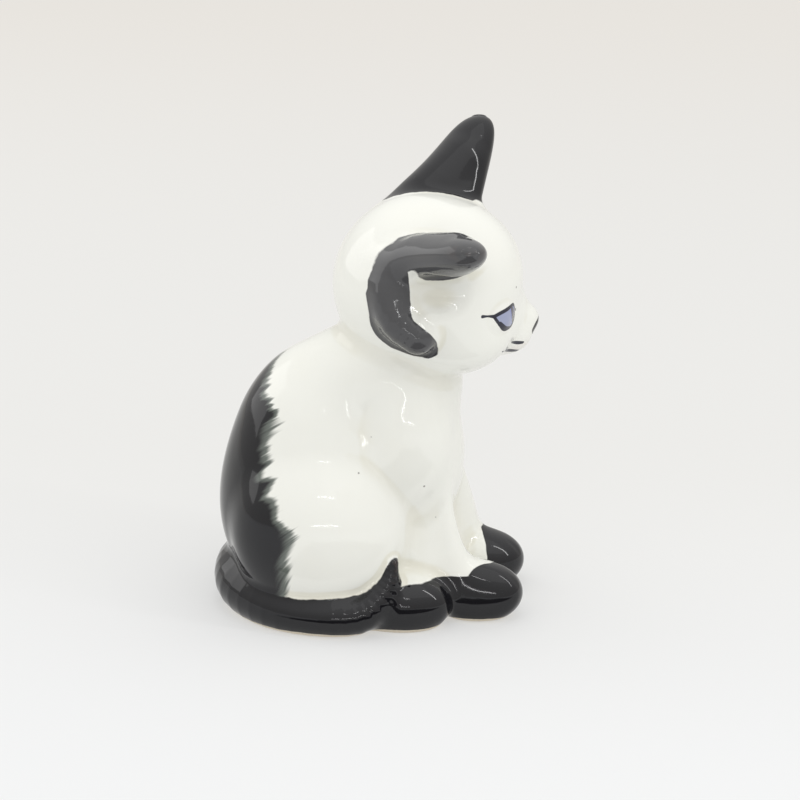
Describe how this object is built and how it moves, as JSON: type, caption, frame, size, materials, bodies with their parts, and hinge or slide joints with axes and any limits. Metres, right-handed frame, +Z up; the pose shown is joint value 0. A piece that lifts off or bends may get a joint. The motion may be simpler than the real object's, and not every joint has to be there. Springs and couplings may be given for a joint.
{
  "type": "cat figurine",
  "caption": "Glazed ceramic cat, sitting with its head on one side, pricked ears and a tail wrapped round its haunch, painted white with dark patches, on a flat foot.",
  "frame": {"origin": "on the flat foot that the cat sits on, on the body's middle plane, between the haunches", "axes": "+Z up, -Y the way the cat faces, +X to the cat's left"},
  "size_m": [0.0504, 0.0601, 0.0893],
  "materials": {
    "white_glaze": "gloss",
    "black_glaze": "gloss"
  },
  "bodies": {
    "root": {"body": "white_glaze", "head": "white_glaze", "left_ear": "black_glaze", "right_ear": "black_glaze", "left_foreleg": "white_glaze", "right_foreleg": "white_glaze", "left_hind_paw": "black_glaze", "right_hind_paw": "black_glaze", "tail": "black_glaze"}
  },
  "joints": []
}
